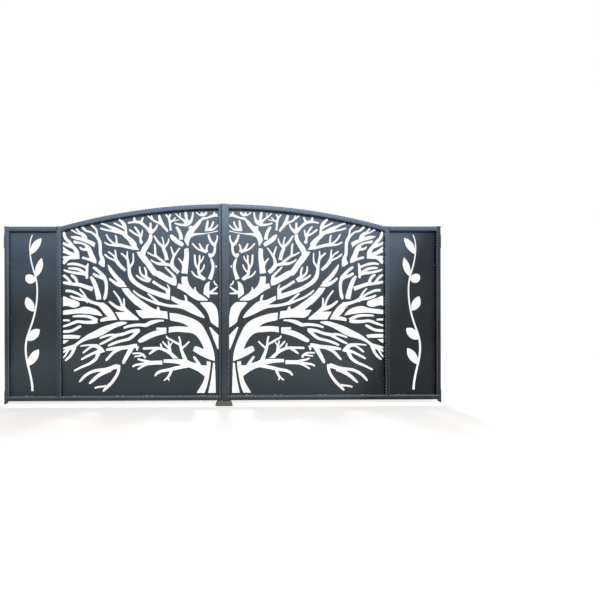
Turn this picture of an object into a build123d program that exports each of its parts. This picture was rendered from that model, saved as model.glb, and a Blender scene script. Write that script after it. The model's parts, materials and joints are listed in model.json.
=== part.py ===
from build123d import *
from math import sqrt
import os

# Double-leaf driveway gate: hammered square tube frames with laser-cut sheets.
# It is drawn in gate coordinates, in millimetres: X to the right along the gate from the middle
# of the gap between the leaves, Y away from the street, Z up from the ground. At the end every
# piece is moved so that the origin lies on the right lower hinge plate's wall side.

# Overall sizes of the gate
gate_width = 4000.0
shoulder_height = 1640.0
arch_rise = 205.0
ground_gap = 45.0
side_bay_width = 433.0

# Square tube of the frames and the plates that close its ends
tube = 40.0
tube_wall = 2.0
narrow_stile = 20.0
cap_thickness = 2.0

# Sheets that fill the frames
sheet_thickness = 3.0
sheet_recess = 36.0
sheet_rim = 4.0

# Flat that covers the gap between the leaves, on the right leaf, and the slit beside it
strip_width = 37.0
strip_thickness = 12.0
strip_slit = 7.5

# Hinges
eye_diameter = 34.0
eye_height = 33.0
pin_diameter = 16.0
pin_play = 0.05
pin_standout = 6.0
eye_rest_gap = 0.3
swing_clearance = 5.0
hinge_inset = 3.0
lower_eye_height = 60.0
upper_eye_drop = 140.0
eye_block_length = 24.0
arm_thickness = 12.0
plate_thickness = 6.0
plate_width = 50.0
plate_height = 120.0
plate_lift = 15.0
plate_hole_spacing = 84.0
plate_hole_diameter = 12.0

# Block on the ground that the closed leaves stand over
stop_top_width = 119.0
stop_base_width = 160.0
stop_depth = 80.0
stop_height = 40.0

# Size of the drawings of the two cut-outs, which are stretched to fit the sheets
tree_drawing_width = 1441.0
tree_drawing_height = 1515.0
vine_drawing_width = 433.0
vine_drawing_height = 1515.0

# Places worked out from the sizes above
half_width = gate_width / 2
half_tube = tube / 2
rail_top = ground_gap + tube
shoulder_underside = shoulder_height - tube
meeting_out = strip_width / 2 + strip_slit + narrow_stile
right_meeting_in = meeting_out - tube
left_meeting_in = meeting_out - narrow_stile
hinge_in = half_width - tube
middle_out = hinge_in - side_bay_width
middle_in = middle_out - tube
sheet_front = sheet_recess - half_tube
arch_radius = (arch_rise ** 2 + middle_in ** 2) / (2 * arch_rise)
arch_centre = shoulder_height + arch_rise - arch_radius
axis_x = half_width - hinge_inset
axis_y = half_tube + swing_clearance + eye_diameter / 2
wall_face = axis_x + eye_diameter / 2 + swing_clearance + plate_thickness
plate_rise = plate_lift - arm_thickness / 2 - eye_rest_gap
upper_eye_height = shoulder_height - upper_eye_drop
lower_plate_middle = lower_eye_height + plate_rise


# Vine cut-out: places across the sheet from the middle stile and up from the bottom rail, with
# the stem's width at each
vine_stem = [
    (238, 45, 22), (248, 144, 21), (277, 275, 20), (299, 405, 20), (291, 521, 19),
    (248, 652, 18), (212, 782, 17), (193, 942, 16), (202, 1072, 15), (234, 1188, 14),
    (258, 1319, 13), (258, 1406, 12), (238, 1480, 12),
]

# Each leaf: where it leaves the stem, one side, its point, the other side
vine_leaves = [
    [(252, 1304), (178, 1366), (151, 1456), (222, 1420)],
    [(207, 1095), (140, 1195), (151, 1275), (205, 1195)],
    [(205, 1079), (262, 1122), (292, 1116), (272, 1040)],
    [(223, 779), (232, 868), (291, 913), (292, 815)],
    [(280, 510), (247, 604), (171, 615), (193, 540)],
    [(277, 279), (247, 395), (179, 431), (200, 330)],
]

# Tree cut-outs, as places across the sheet from the meeting stile and up from the bottom rail.
# Outlines: lists of sides, each a smooth line through its places, joined by straight lines
tree_outlines = [
    # Foot of the trunk
    [
        [(101, 22), (84, 95), (70, 175), (57, 270), (54, 299)],
        [(38, 301), (33, 160), (30, 22)],
    ],
    [
        [(135, 22), (106, 105), (90, 185), (80, 255), (77, 309)],
        [(112, 315), (114, 275)],
        [(150, 276), (200, 290)],
        [(200, 225), (165, 200), (132, 177)],
        [(132, 177), (140, 140), (170, 80), (206, 22)],
    ],
    # Low branch above the first tie
    [
        [(425, 341), (450, 370), (480, 395)],
        [(440, 402), (405, 370), (372, 342)],
    ],
    # Trunk where it leans over to the wide bay
    [
        [(38, 316), (100, 337), (160, 364), (210, 393), (240, 413)],
        [(240, 413), (224, 453)],
        [(224, 453), (195, 450), (165, 436), (137, 427)],
        [(137, 427), (160, 480), (195, 535), (240, 571), (310, 583), (400, 588), (465, 579)],
        [(465, 579), (463, 631)],
        [(463, 631), (400, 638), (340, 638), (282, 631)],
        [(282, 631), (320, 660), (390, 682), (451, 695)],
        [(451, 695), (457, 763)],
        [(457, 763), (380, 754), (300, 732), (225, 702), (165, 660), (115, 580), (75, 490),
         (50, 410), (40, 350), (38, 316)],
    ],
    # Space between the trunk and the meeting stile
    [
        [(0, 552), (35, 588), (78, 632)],
        [(90, 628), (70, 575), (42, 500), (10, 425)],
        [(0, 425), (0, 552)],
    ],
    # Upright limb near the meeting stile
    [
        [(10, 628), (45, 652), (75, 676)],
        [(75, 676), (92, 735), (112, 778), (145, 820), (172, 855)],
        [(168, 862), (72, 862)],
        [(72, 862), (45, 842), (22, 812), (10, 770), (4, 700), (3, 630)],
    ],
    # Second limb from the trunk
    [
        [(138, 712), (200, 735), (275, 770), (345, 805)],
        [(345, 805), (372, 843)],
        [(372, 843), (402, 858), (440, 882)],
        [(440, 882), (438, 920)],
        [(438, 920), (400, 904), (345, 880), (310, 879)],
        [(310, 879), (315, 900), (323, 922)],
        [(318, 930), (304, 922), (293, 900), (290, 873)],
        [(290, 873), (250, 851), (205, 812), (165, 770), (131, 722)],
    ],
    # Limb that climbs to the middle of the bay
    [
        [(470, 705), (510, 713), (600, 718), (700, 714)],
        [(700, 714), (730, 732), (750, 755), (768, 785)],
        [(768, 788), (702, 788)],
        [(702, 788), (740, 818), (790, 857), (837, 906), (867, 940), (899, 995)],
        [(899, 995), (836, 993)],
        [(836, 993), (790, 937), (740, 897), (700, 868), (640, 825), (585, 795)],
        [(585, 795), (574, 800)],
        [(574, 800), (563, 820), (553, 815)],
        [(553, 815), (546, 800), (541, 783)],
        [(541, 783), (478, 776)],
    ],
    # Long branch to the hinge side, its first stretch
    [
        [(486, 573), (530, 563), (580, 549), (640, 524), (690, 500), (722, 488)],
        [(722, 488), (745, 497), (748, 512)],
        [(748, 512), (700, 548), (640, 580), (590, 598), (545, 604)],
        [(545, 604), (580, 610)],
        [(580, 610), (578, 628)],
        [(578, 628), (486, 627)],
    ],
    # Foot of the low twigs at the hinge side
    [
        [(1050, 405), (1075, 440), (1100, 462), (1135, 476)],
        [(1135, 476), (1150, 450)],
        [(1150, 450), (1115, 430)],
        [(1115, 430), (1140, 410)],
        [(1140, 410), (1100, 393)],
        [(1100, 393), (1050, 405)],
    ],
    # Notches beside the middle stile
    [
        [(1274, 554), (1300, 558), (1445, 560)],
        [(1445, 529), (1292, 527)],
    ],
    [
        [(1380, 513), (1445, 517)],
        [(1445, 480), (1436, 480), (1405, 495), (1380, 513)],
    ],
    # Long branch to the hinge side, its second stretch
    [
        [(850, 678), (940, 678), (1000, 660), (1080, 632), (1150, 596), (1220, 560), (1280, 516),
         (1335, 476)],
        [(1335, 476), (1360, 440)],
        [(1325, 440), (1300, 468), (1250, 500), (1200, 519), (1130, 537), (1060, 568),
         (1000, 605), (940, 634), (880, 655), (850, 668)],
    ],
    # Twigs over the upright limb
    [
        [(88, 897), (115, 918), (142, 938)],
        [(142, 938), (138, 980), (130, 1015)],
        [(130, 1015), (108, 1042), (80, 1056)],
        [(80, 1056), (87, 1020), (87, 960), (88, 897)],
    ],
    # Oval dot
    [
        [(24, 1178), (17, 1192), (24, 1207)],
        [(24, 1207), (31, 1192), (24, 1178)],
    ],
    # Limb that leaves the upright one
    [
        [(104, 876), (185, 876)],
        [(185, 876), (245, 905), (310, 952), (385, 992)],
        [(385, 1000), (374, 1036)],
        [(374, 1036), (340, 1027)],
        [(340, 1027), (344, 1050), (343, 1099)],
        [(343, 1099), (290, 1098)],
        [(290, 1098), (283, 1050), (255, 998), (229, 977)],
        [(229, 977), (223, 1002)],
        [(213, 1002), (212, 975)],
        [(212, 975), (185, 944), (140, 914), (102, 884)],
    ],
    [
        [(289, 1124), (346, 1131)],
        [(346, 1131), (341, 1165), (338, 1195), (343, 1212)],
        [(343, 1212), (331, 1234)],
        [(331, 1234), (322, 1270), (319, 1338)],
        [(319, 1349), (297, 1362), (280, 1360)],
        [(280, 1360), (278, 1240), (284, 1180), (289, 1124)],
    ],
    # Foot of the limb under the crown
    [
        [(452, 884), (450, 975)],
        [(450, 975), (463, 988)],
        [(463, 988), (492, 968)],
        [(492, 968), (485, 935)],
        [(485, 935), (500, 893)],
    ],
    # Trunk of the crown, lower and upper stretch
    [
        [(396, 1013), (450, 1030), (500, 1058), (550, 1084), (600, 1125)],
        [(600, 1125), (560, 1152)],
        [(560, 1152), (500, 1122), (460, 1098), (420, 1085)],
        [(420, 1085), (402, 1100)],
        [(402, 1100), (389, 1060), (396, 1013)],
    ],
    [
        [(631, 1225), (653, 1264), (678, 1296)],
        [(678, 1296), (676, 1314), (655, 1358), (625, 1413), (614, 1443), (616, 1491)],
        [(616, 1491), (645, 1491)],
        [(645, 1491), (651, 1449), (678, 1407), (700, 1380), (719, 1339)],
        [(719, 1339), (731, 1331), (758, 1331)],
        [(758, 1331), (750, 1308), (722, 1264), (694, 1225)],
    ],
    # Limbs between the middle of the bay and the hinge side
    [
        [(850, 1004), (920, 1003)],
        [(920, 1003), (940, 1046)],
        [(940, 1046), (900, 1062)],
        [(900, 1062), (865, 1028), (850, 1012)],
    ],
    [
        [(738, 697), (914, 698)],
        [(914, 698), (935, 735), (957, 771)],
        [(957, 771), (868, 772)],
        [(868, 772), (905, 797)],
        [(905, 797), (868, 825)],
        [(868, 825), (835, 790), (790, 752), (745, 716)],
    ],
    [
        [(938, 700), (965, 752), (1000, 802), (1040, 840), (1075, 860)],
        [(1075, 860), (1112, 829)],
        [(1112, 829), (1095, 812), (1060, 765), (1020, 727)],
        [(1020, 727), (1060, 722), (1092, 708)],
        [(1092, 708), (1097, 694), (1086, 682)],
        [(1086, 682), (1030, 692), (938, 700)],
    ],
    # Branches that end at the middle stile
    [
        [(1437, 916), (1424, 917), (1390, 902), (1350, 889), (1305, 872)],
        [(1305, 872), (1288, 860), (1284, 843), (1288, 830)],
        [(1288, 830), (1310, 819), (1334, 814), (1365, 820), (1437, 824)],
    ],
    [
        [(1073, 734), (1095, 768), (1128, 795), (1170, 812), (1222, 822), (1255, 820),
         (1290, 808), (1340, 799), (1437, 786)],
        [(1437, 748), (1380, 752), (1300, 760), (1220, 757), (1140, 746), (1073, 734)],
    ],
    # Foot of the twigs at the meeting stile
    [
        [(77, 1266), (50, 1286)],
        [(60, 1310), (92, 1316)],
        [(98, 1305), (88, 1280), (77, 1266)],
    ],
    # Top limb that bends to the meeting stile
    [
        [(5, 1516), (60, 1505), (140, 1490), (225, 1476), (256, 1459), (272, 1425), (280, 1381)],
        [(286, 1380), (303, 1407), (319, 1435)],
        [(319, 1435), (308, 1474), (290, 1512), (271, 1535)],
        [(271, 1535), (281, 1553)],
        [(281, 1553), (268, 1566), (256, 1571)],
        [(256, 1571), (245, 1563)],
        [(245, 1563), (219, 1582), (202, 1602), (169, 1632), (155, 1644)],
        [(155, 1644), (144, 1649), (114, 1648)],
        [(114, 1648), (73, 1667), (49, 1678)],
        [(49, 1678), (46, 1695), (40, 1699), (33, 1695), (29, 1681)],
        [(29, 1681), (17, 1679), (4, 1686)],
        [(13, 1667), (1, 1646)],
        [(1, 1646), (15, 1653), (45, 1651), (100, 1634), (139, 1626)],
        [(139, 1626), (150, 1618), (170, 1587), (205, 1540), (236, 1502)],
        [(236, 1502), (140, 1501)],
        [(140, 1501), (80, 1509), (8, 1527)],
    ],
    # Bud under the arch
    [
        [(104, 1687), (109, 1697), (122, 1698)],
        [(122, 1698), (133, 1689), (146, 1679)],
        [(146, 1679), (150, 1692), (157, 1697), (164, 1692), (168, 1679)],
        [(168, 1679), (182, 1679), (192, 1688), (202, 1697)],
        [(208, 1696), (209, 1687), (194, 1673), (178, 1663), (161, 1657), (144, 1657),
         (128, 1660), (114, 1670), (104, 1687)],
    ],
    # Palm of the topmost hand of twigs
    [
        [(247, 1606), (256, 1589), (270, 1576), (286, 1567), (305, 1563)],
        [(305, 1563), (315, 1595)],
        [(315, 1595), (306, 1628)],
        [(306, 1628), (280, 1622)],
    ],
    # Foot of the fan right of the crown's trunk
    [
        [(598, 1510), (606, 1500), (645, 1500)],
        [(645, 1500), (654, 1518)],
        [(630, 1540), (598, 1510)],
    ],
    # Foot of the limb that carries the upper right fan
    [
        [(733, 1345), (752, 1372), (768, 1408), (790, 1440)],
        [(806, 1400), (806, 1350)],
        [(780, 1347), (733, 1345)],
    ],
    # Foot of the upright limb near the hinge side
    [
        [(1053, 1188), (1064, 1188), (1090, 1202), (1110, 1218)],
        [(1110, 1218), (1107, 1235), (1097, 1252), (1096, 1268), (1100, 1295)],
        [(1067, 1290), (1055, 1264), (1051, 1235), (1053, 1188)],
    ],
    # Three fans of twigs in the upper corner at the hinge side
    [
        [(1128, 1228), (1130, 1253), (1150, 1297), (1167, 1338), (1184, 1374), (1211, 1396),
         (1261, 1416), (1333, 1436)],
        [(1333, 1436), (1342, 1424), (1322, 1403)],
        [(1322, 1403), (1289, 1404), (1261, 1398), (1238, 1386), (1229, 1371)],
        [(1229, 1371), (1256, 1363), (1270, 1371), (1279, 1378)],
        [(1279, 1378), (1286, 1371), (1281, 1358)],
        [(1281, 1358), (1261, 1343), (1234, 1337), (1213, 1337)],
        [(1213, 1337), (1207, 1319), (1200, 1294), (1191, 1271)],
        [(1191, 1271), (1231, 1279), (1252, 1286)],
        [(1252, 1286), (1261, 1278), (1260, 1264)],
        [(1260, 1264), (1206, 1249), (1165, 1232), (1147, 1223)],
        [(1147, 1223), (1128, 1223)],
    ],
    [
        [(1138, 1410), (1143, 1390), (1150, 1369)],
        [(1150, 1369), (1184, 1394), (1220, 1412), (1275, 1432), (1331, 1447), (1353, 1458)],
        [(1353, 1458), (1365, 1467), (1361, 1474)],
        [(1361, 1474), (1339, 1475), (1303, 1474), (1280, 1468), (1262, 1463)],
        [(1262, 1463), (1264, 1474), (1278, 1484), (1303, 1493), (1331, 1507), (1353, 1520),
         (1376, 1531)],
        [(1376, 1531), (1379, 1538), (1369, 1544)],
        [(1369, 1544), (1350, 1538), (1331, 1523), (1306, 1509), (1287, 1501)],
        [(1287, 1501), (1306, 1520), (1319, 1535), (1323, 1548)],
        [(1323, 1548), (1317, 1559), (1308, 1557)],
        [(1308, 1557), (1295, 1534), (1281, 1519), (1261, 1510)],
        [(1261, 1510), (1231, 1490), (1218, 1473), (1213, 1447)],
        [(1213, 1447), (1195, 1438), (1173, 1430), (1150, 1418), (1138, 1410)],
    ],
    [
        [(1283, 1264), (1317, 1261), (1345, 1260), (1367, 1261)],
        [(1367, 1261), (1386, 1250), (1400, 1236), (1416, 1219)],
        [(1416, 1219), (1427, 1214), (1438, 1221)],
        [(1445, 1231), (1437, 1248), (1428, 1263)],
        [(1428, 1263), (1450, 1273)],
        [(1450, 1288), (1400, 1290), (1364, 1290)],
        [(1364, 1290), (1386, 1300), (1410, 1312), (1441, 1321)],
        [(1441, 1321), (1447, 1330), (1439, 1338)],
        [(1439, 1338), (1426, 1343)],
        [(1426, 1343), (1439, 1356), (1448, 1372)],
        [(1448, 1372), (1440, 1378), (1428, 1372), (1408, 1358), (1389, 1344), (1372, 1333),
         (1350, 1325), (1329, 1313)],
        [(1329, 1313), (1339, 1344), (1347, 1357)],
        [(1347, 1357), (1386, 1371), (1428, 1391), (1444, 1399)],
        [(1444, 1399), (1448, 1411), (1439, 1421)],
        [(1439, 1421), (1427, 1418), (1408, 1410), (1384, 1404)],
        [(1384, 1404), (1397, 1418), (1411, 1432), (1425, 1451), (1434, 1471), (1439, 1490),
         (1443, 1512)],
        [(1443, 1512), (1441, 1523)],
        [(1425, 1526), (1414, 1501), (1400, 1462), (1372, 1435), (1345, 1402), (1311, 1363),
         (1290, 1330), (1285, 1292), (1283, 1264)],
    ],
]

# Limbs: strokes through places, each with the stroke's width there
tree_limbs = [
    # Low branches that leave the foot of the trunk
    [(190, 255, 66), (250, 278, 55), (300, 292, 60)],
    [(512, 318, 30), (450, 317, 33), (400, 314, 38), (345, 308, 50), (290, 295, 56)],
    [(290, 280, 45), (350, 262, 31), (400, 252, 32), (450, 240, 28), (500, 231, 27),
     (540, 223, 26), (568, 208, 24), (587, 186, 17)],
    [(443, 232, 26), (450, 205, 24), (462, 182, 22), (474, 164, 20)],
    [(474, 165, 18), (466, 150, 13), (462, 142, 11)],
    [(474, 165, 20), (490, 152, 15), (506, 140, 12)],
    [(172, 265, 30), (192, 298, 27), (212, 328, 25), (229, 352, 20)],
    [(312, 300, 48), (318, 345, 37), (328, 370, 31), (339, 398, 27), (350, 430, 26),
     (356, 470, 20), (360, 510, 19), (368, 538, 18)],
    [(350, 430, 22), (325, 449, 19), (300, 471, 17), (278, 494, 15)],
    [(358, 462, 22), (380, 479, 20), (405, 492, 21), (435, 510, 19), (462, 523, 18),
     (478, 534, 16), (484, 546, 13)],
    # Low branch above the first tie
    [(455, 400, 40), (500, 420, 28), (540, 434, 26), (580, 437, 24), (640, 437, 22),
     (693, 434, 21)],
    [(452, 398, 26), (452, 430, 22), (455, 452, 18)],
    [(455, 450, 16), (445, 470, 14), (433, 487, 11)],
    [(455, 452, 18), (462, 475, 16), (468, 500, 13)],
    [(455, 430, 24), (478, 452, 19), (500, 474, 18), (517, 494, 16)],
    [(530, 440, 20), (535, 460, 17), (538, 474, 13)],
    [(575, 432, 26), (600, 417, 24), (622, 400, 20), (641, 387, 16)],
    # Low twigs in the middle of the bay
    [(524, 304, 36), (600, 303, 36), (655, 300, 38)],
    [(640, 308, 28), (690, 322, 20), (725, 330, 18), (745, 337, 15)],
    [(650, 298, 30), (700, 294, 22), (740, 288, 20), (770, 282, 18), (793, 270, 16)],
    [(650, 295, 28), (690, 280, 22), (720, 262, 19), (746, 245, 15)],
    [(680, 346, 20), (695, 370, 22), (712, 383, 20)],
    [(700, 372, 22), (720, 386, 18), (750, 391, 16), (795, 389, 13)],
    [(705, 375, 20), (730, 367, 15), (760, 363, 13), (778, 361, 12)],
    # Twigs of the second limb
    [(330, 818, 44), (400, 825, 27), (450, 828, 26), (500, 837, 25), (550, 850, 30)],
    [(550, 850, 26), (585, 880, 22), (618, 910, 20), (652, 938, 15)],
    [(550, 846, 26), (600, 862, 22), (650, 883, 20), (700, 905, 20), (750, 935, 19),
     (787, 967, 14)],
    [(508, 691, 14), (550, 691, 20), (600, 681, 33), (640, 668, 37), (675, 651, 34),
     (720, 652, 28), (780, 650, 26), (830, 642, 24), (872, 628, 21)],
    # Long branches to the hinge side
    [(730, 604, 24), (780, 600, 30), (830, 588, 28), (880, 570, 28), (930, 560, 30),
     (975, 550, 36)],
    [(970, 560, 26), (1010, 560, 22), (1050, 550, 20), (1095, 533, 15)],
    [(950, 552, 30), (990, 530, 26), (1030, 508, 24), (1070, 488, 22), (1098, 475, 16)],
    [(735, 602, 26), (760, 583, 32), (790, 553, 30), (830, 525, 28), (880, 511, 25),
     (930, 498, 24), (980, 480, 24), (1018, 462, 18)],
    [(752, 458, 30), (755, 438, 22), (757, 422, 16)],
    [(755, 462, 34), (800, 455, 38), (850, 446, 34), (900, 441, 36), (950, 436, 34),
     (1000, 430, 30), (1035, 424, 20)],
    [(900, 438, 30), (940, 420, 28), (975, 398, 27), (1005, 367, 25), (1040, 330, 18)],
    [(800, 455, 44), (820, 420, 42), (845, 375, 36), (865, 340, 34), (882, 305, 26)],
    # Low twigs towards the middle stile
    [(930, 284, 34), (928, 230, 27), (938, 200, 26), (962, 160, 26), (990, 122, 27),
     (1020, 92, 27), (1045, 67, 24), (1066, 46, 18)],
    [(1040, 90, 22), (1080, 84, 18), (1115, 80, 17), (1142, 72, 16)],
    [(935, 272, 42), (970, 263, 40), (1010, 248, 38), (1050, 238, 38), (1100, 236, 30),
     (1150, 229, 27), (1200, 208, 26), (1240, 181, 25), (1270, 150, 21), (1284, 133, 16)],
    [(1000, 240, 40), (1040, 225, 36), (1080, 205, 34), (1115, 184, 32), (1150, 155, 30),
     (1175, 132, 24), (1192, 117, 18)],
    [(1120, 460, 30), (1160, 468, 18), (1200, 468, 16), (1240, 464, 15), (1272, 460, 14)],
    [(1120, 445, 28), (1190, 446, 22), (1212, 430, 20), (1235, 412, 19), (1252, 398, 15)],
    [(1105, 405, 34), (1150, 397, 24), (1180, 383, 22), (1210, 368, 22), (1240, 352, 21),
     (1266, 337, 16)],
    [(1110, 405, 40), (1122, 370, 34), (1137, 342, 30), (1165, 316, 28), (1200, 294, 24),
     (1245, 275, 21), (1290, 254, 19), (1332, 233, 15)],
    [(1122, 693, 34), (1155, 712, 32), (1200, 730, 28), (1250, 736, 24), (1300, 736, 22),
     (1343, 733, 16)],
    [(1122, 690, 34), (1160, 680, 34), (1200, 678, 30), (1250, 680, 28), (1300, 685, 26),
     (1330, 678, 27), (1370, 662, 24), (1410, 648, 20), (1436, 640, 17)],
    [(1375, 695, 16), (1400, 697, 18), (1437, 697, 18)],
    [(1270, 645, 18), (1300, 630, 26), (1340, 608, 26), (1375, 597, 26), (1410, 594, 26),
     (1445, 592, 24)],
    [(1330, 455, 40), (1360, 453, 28), (1390, 447, 22), (1420, 440, 18), (1438, 436, 15)],
    [(1355, 440, 34), (1390, 422, 24), (1402, 400, 18), (1418, 372, 16), (1440, 350, 13)],
    [(1385, 434, 26), (1415, 417, 22), (1442, 400, 16)],
    [(1335, 450, 40), (1342, 425, 32), (1352, 398, 27), (1372, 368, 24), (1395, 345, 22),
     (1416, 328, 14)],
    # Twigs over the upright limb, by the meeting stile
    [(92, 944, 18), (50, 943, 17), (16, 942, 15)],
    [(85, 950, 26), (60, 965, 22), (35, 985, 18), (14, 1002, 13)],
    [(14, 1019, 12), (32, 1030, 14), (43, 1056, 11)],
    [(83, 1073, 40), (73, 1100, 35), (62, 1130, 31), (55, 1160, 29), (52, 1190, 27),
     (57, 1225, 27), (68, 1256, 18)],
    [(128, 1070, 26), (150, 1090, 28), (172, 1108, 28), (184, 1132, 24), (188, 1160, 22),
     (188, 1190, 21), (182, 1215, 16)],
    [(140, 1076, 30), (175, 1090, 22), (210, 1102, 18), (232, 1122, 16), (248, 1145, 13)],
    [(182, 1138, 22), (158, 1155, 16), (142, 1180, 15), (134, 1206, 12)],
    [(190, 1178, 24), (208, 1197, 20), (217, 1225, 20), (220, 1260, 19), (223, 1296, 16)],
    [(186, 1205, 16), (172, 1232, 18), (155, 1252, 15), (142, 1284, 13)],
    [(178, 1225, 18), (177, 1260, 17), (177, 1292, 16)],
    [(325, 1212, 30), (343, 1232, 18), (358, 1252, 16), (370, 1265, 12)],
    [(84, 1300, 30), (68, 1292, 30), (50, 1306, 26), (38, 1335, 22), (35, 1365, 21),
     (35, 1392, 24), (24, 1418, 20), (15, 1442, 16), (13, 1476, 13)],
    [(38, 1390, 30), (60, 1408, 28), (76, 1432, 24), (87, 1460, 21), (92, 1480, 20)],
    [(110, 1325, 28), (112, 1350, 20), (109, 1375, 17), (99, 1393, 15)],
    [(115, 1330, 28), (140, 1342, 24), (158, 1362, 22), (170, 1385, 18), (179, 1402, 13)],
    [(112, 1325, 26), (150, 1338, 22), (185, 1350, 17), (210, 1368, 16), (232, 1393, 15),
     (242, 1403, 13)],
    # Limb under the crown and its twigs
    [(612, 1054, 26), (585, 1038, 25), (550, 1015, 24), (505, 990, 26), (470, 970, 26)],
    [(458, 972, 18), (463, 1000, 14), (476, 1022, 9)],
    [(470, 912, 52), (520, 925, 46), (570, 942, 44), (620, 960, 42), (670, 981, 38),
     (720, 1008, 38), (765, 1037, 38), (800, 1072, 40), (820, 1110, 36), (827, 1150, 31),
     (828, 1185, 30)],
    [(828, 1180, 30), (835, 1215, 24), (839, 1245, 22), (845, 1270, 22), (846, 1295, 17),
     (844, 1318, 14), (845, 1330, 12)],
    [(846, 1262, 24), (858, 1278, 20), (876, 1295, 17), (898, 1313, 15)],
    [(826, 1185, 26), (808, 1205, 22), (795, 1225, 20), (789, 1250, 17), (789, 1285, 15),
     (790, 1312, 12)],
    [(630, 1062, 34), (655, 1078, 36), (670, 1090, 30)],
    [(662, 1085, 32), (671, 1110, 21), (672, 1140, 19), (678, 1165, 17), (685, 1182, 13)],
    [(665, 1085, 30), (695, 1102, 24), (720, 1128, 20), (729, 1160, 17), (730, 1188, 13)],
    [(640, 1062, 32), (675, 1060, 20), (710, 1075, 20), (740, 1094, 18), (759, 1111, 13)],
    # Trunk of the crown and its twigs
    [(575, 1122, 54), (612, 1160, 53), (638, 1200, 52), (662, 1232, 52)],
    [(405, 1085, 30), (425, 1115, 24), (452, 1143, 20), (478, 1168, 16), (494, 1186, 12)],
    [(372, 1133, 36), (400, 1160, 36), (425, 1188, 38), (433, 1215, 33), (428, 1250, 27),
     (420, 1275, 24), (411, 1300, 22)],
    [(415, 1290, 22), (424, 1318, 18), (434, 1347, 15), (442, 1373, 12)],
    [(415, 1285, 24), (400, 1308, 20), (380, 1338, 16), (362, 1360, 14)],
    [(430, 1200, 34), (470, 1210, 26), (505, 1216, 30), (550, 1217, 26), (590, 1230, 19),
     (612, 1243, 15), (625, 1255, 12)],
    [(500, 1220, 28), (512, 1236, 24), (534, 1253, 24), (556, 1270, 23), (584, 1289, 22),
     (606, 1295, 17), (633, 1308, 14), (655, 1321, 12)],
    [(586, 1288, 26), (586, 1310, 21), (587, 1345, 20), (589, 1375, 19), (594, 1398, 15)],
    # Fan in the middle of the crown
    [(478, 1252, 38), (484, 1275, 33), (489, 1300, 32), (497, 1325, 33), (508, 1350, 29),
     (512, 1372, 30)],
    [(508, 1365, 26), (490, 1384, 22), (476, 1402, 18), (466, 1422, 16), (462, 1448, 12)],
    [(510, 1375, 24), (509, 1402, 15), (513, 1430, 14), (519, 1452, 12), (524, 1463, 11)],
    [(512, 1374, 30), (530, 1388, 26), (550, 1406, 24), (567, 1428, 21), (581, 1450, 18),
     (595, 1472, 14)],
    # Limbs between the middle of the bay and the hinge side
    [(862, 1156, 24), (885, 1176, 28), (910, 1200, 30), (932, 1228, 33), (946, 1252, 32),
     (950, 1275, 24), (951, 1305, 17), (954, 1330, 14), (957, 1345, 12)],
    [(950, 1270, 26), (962, 1284, 20), (981, 1302, 16), (1000, 1316, 16), (1018, 1328, 13)],
    [(945, 1248, 30), (965, 1253, 22), (984, 1260, 18), (1011, 1272, 17), (1033, 1288, 17),
     (1050, 1303, 15)],
    [(880, 1025, 40), (905, 1048, 44), (935, 1082, 38), (962, 1112, 37), (988, 1146, 35),
     (1008, 1178, 26), (1019, 1202, 14)],
    [(890, 1016, 26), (930, 1026, 34), (965, 1046, 27), (990, 1065, 24), (1005, 1078, 20)],
    [(1059, 886, 14), (1052, 906, 30), (1043, 942, 30), (1038, 985, 29), (1038, 1020, 30),
     (1043, 1055, 32), (1058, 1090, 38), (1080, 1120, 31), (1105, 1146, 28), (1130, 1167, 27),
     (1150, 1181, 25)],
    [(1062, 1085, 34), (1095, 1095, 28), (1125, 1106, 27), (1152, 1122, 25)],
    [(1108, 888, 46), (1112, 920, 50), (1122, 960, 45), (1133, 1000, 42), (1148, 1040, 40),
     (1163, 1072, 36), (1177, 1092, 26)],
    [(1206, 1222, 12), (1213, 1195, 22), (1217, 1150, 26), (1217, 1092, 24)],
    [(1222, 1185, 26), (1250, 1195, 22), (1285, 1208, 24), (1330, 1217, 24), (1390, 1213, 18)],
    [(1232, 1125, 30), (1255, 1145, 28), (1290, 1165, 26), (1335, 1175, 24), (1380, 1177, 18)],
    [(1215, 1110, 30), (1250, 1125, 26), (1300, 1131, 26), (1350, 1139, 22), (1395, 1149, 20),
     (1425, 1160, 15)],
    [(876, 806, 24), (876, 860, 18), (876, 893, 15)],
    [(889, 806, 40), (903, 855, 20), (912, 880, 20), (925, 905, 19), (943, 930, 17),
     (958, 950, 17), (970, 964, 14)],
    [(880, 800, 40), (930, 812, 32), (965, 832, 26), (990, 852, 24), (1008, 866, 18)],
    [(1060, 835, 46), (1110, 846, 32), (1150, 857, 27), (1190, 872, 29), (1225, 893, 34)],
    [(1222, 890, 30), (1234, 918, 24), (1248, 945, 18), (1265, 966, 16), (1281, 984, 13)],
    [(1225, 888, 30), (1255, 914, 22), (1290, 937, 22), (1325, 953, 24), (1360, 965, 24),
     (1404, 969, 24)],
    [(1205, 870, 34), (1240, 886, 26), (1285, 892, 27), (1320, 901, 25), (1350, 912, 22),
     (1366, 920, 16)],
    [(1163, 983, 40), (1200, 996, 38), (1245, 1012, 35), (1285, 1025, 34), (1330, 1029, 27),
     (1380, 1036, 28), (1427, 1045, 24)],
    [(1308, 1030, 34), (1312, 1060, 28), (1325, 1085, 27), (1345, 1104, 26), (1358, 1112, 20)],
    [(1360, 1035, 30), (1375, 1058, 24), (1392, 1080, 24), (1410, 1096, 26), (1425, 1107, 24)],
    [(1083, 1280, 32), (1091, 1310, 30), (1093, 1350, 30), (1094, 1388, 30), (1096, 1410, 31),
     (1101, 1430, 30), (1109, 1447, 29), (1119, 1463, 27), (1124, 1478, 26)],
    [(1120, 1470, 24), (1123, 1492, 17), (1124, 1512, 16), (1130, 1531, 18), (1144, 1549, 18),
     (1161, 1565, 17), (1171, 1574, 14)],
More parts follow.
